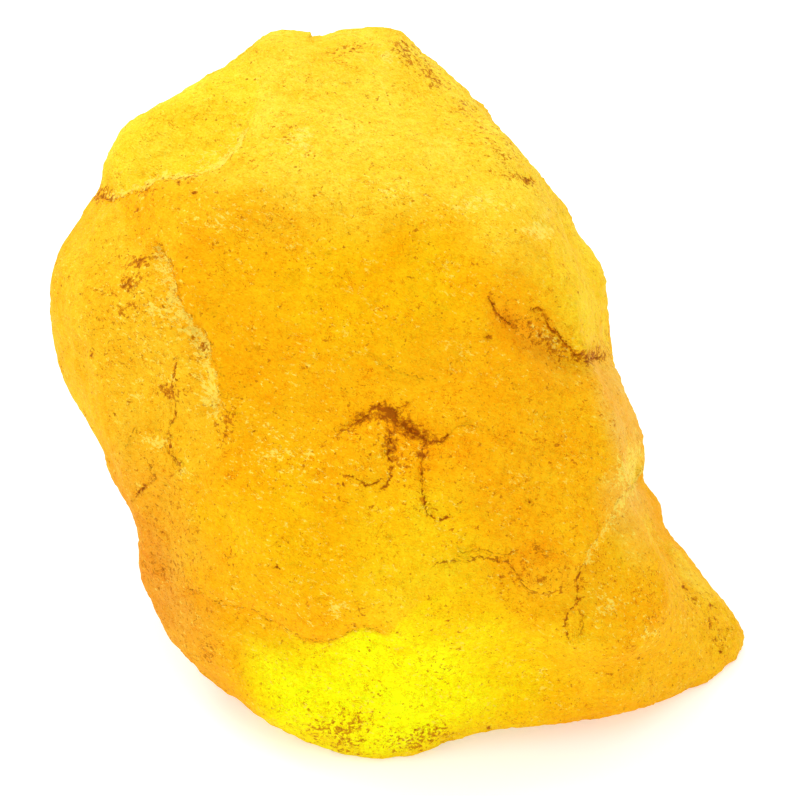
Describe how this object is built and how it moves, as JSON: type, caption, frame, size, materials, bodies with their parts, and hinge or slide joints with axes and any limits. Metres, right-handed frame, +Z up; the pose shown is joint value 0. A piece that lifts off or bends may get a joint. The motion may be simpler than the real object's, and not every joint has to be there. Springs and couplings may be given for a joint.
{
  "type": "rough yellow sapphire",
  "caption": "Rough yellow sapphire: a broken, water-worn lump of translucent yellow corundum with ledges, scars and cracks, resting on a flat broken base.",
  "frame": {"origin": "on the table, under the middle of the stone's bounding box", "axes": "+Z up; +X along the stone's greatest width; -Y is the side that the broad face leans towards, looking 40 degrees above the table"},
  "size_m": [0.0474, 0.0414, 0.0371],
  "materials": {
    "sapphire": "satin"
  },
  "bodies": {
    "root": {"rough_sapphire": "sapphire"}
  },
  "joints": []
}
